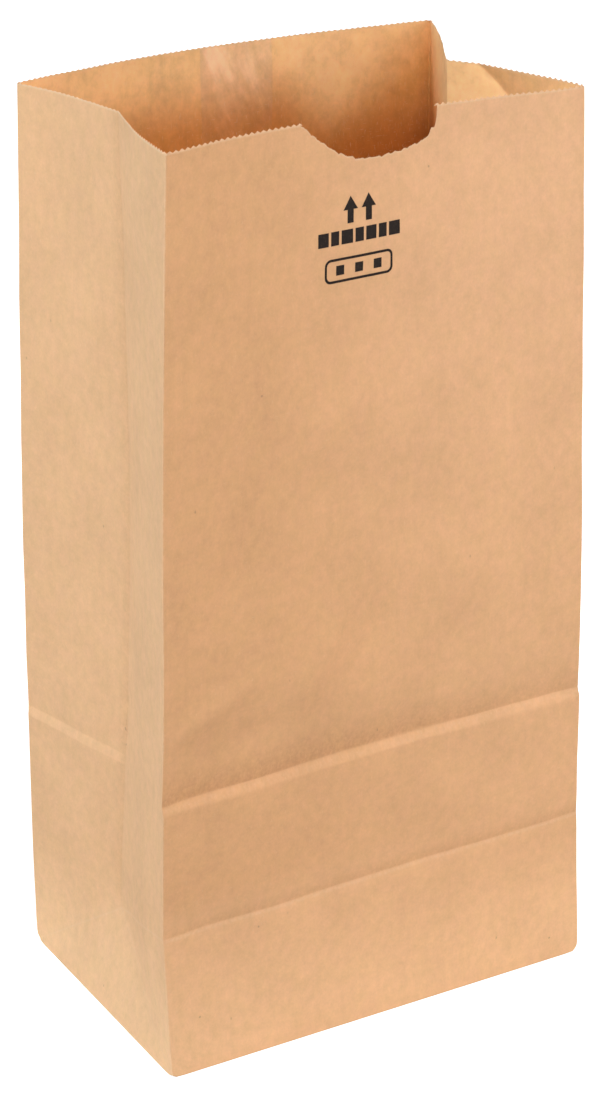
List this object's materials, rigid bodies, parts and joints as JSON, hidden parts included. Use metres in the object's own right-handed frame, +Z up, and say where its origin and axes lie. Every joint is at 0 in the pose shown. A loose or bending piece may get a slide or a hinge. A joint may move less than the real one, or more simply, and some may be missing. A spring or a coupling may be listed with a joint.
{
  "type": "paper lunch bag",
  "caption": "Open flat-bottomed kraft paper lunch bag with gusseted sides, a toothed rim with a thumb notch, and a pasted folded base.",
  "frame": {"origin": "middle of the underside's folded outline, on the face the bag stands on", "axes": "+X to the right along the front panel, +Y from the front panel to the back panel, +Z up"},
  "size_m": [0.1826, 0.1273, 0.3499],
  "materials": {
    "kraft_paper": "matte"
  },
  "bodies": {
    "root": {"paper_bag": "kraft_paper"}
  },
  "joints": []
}
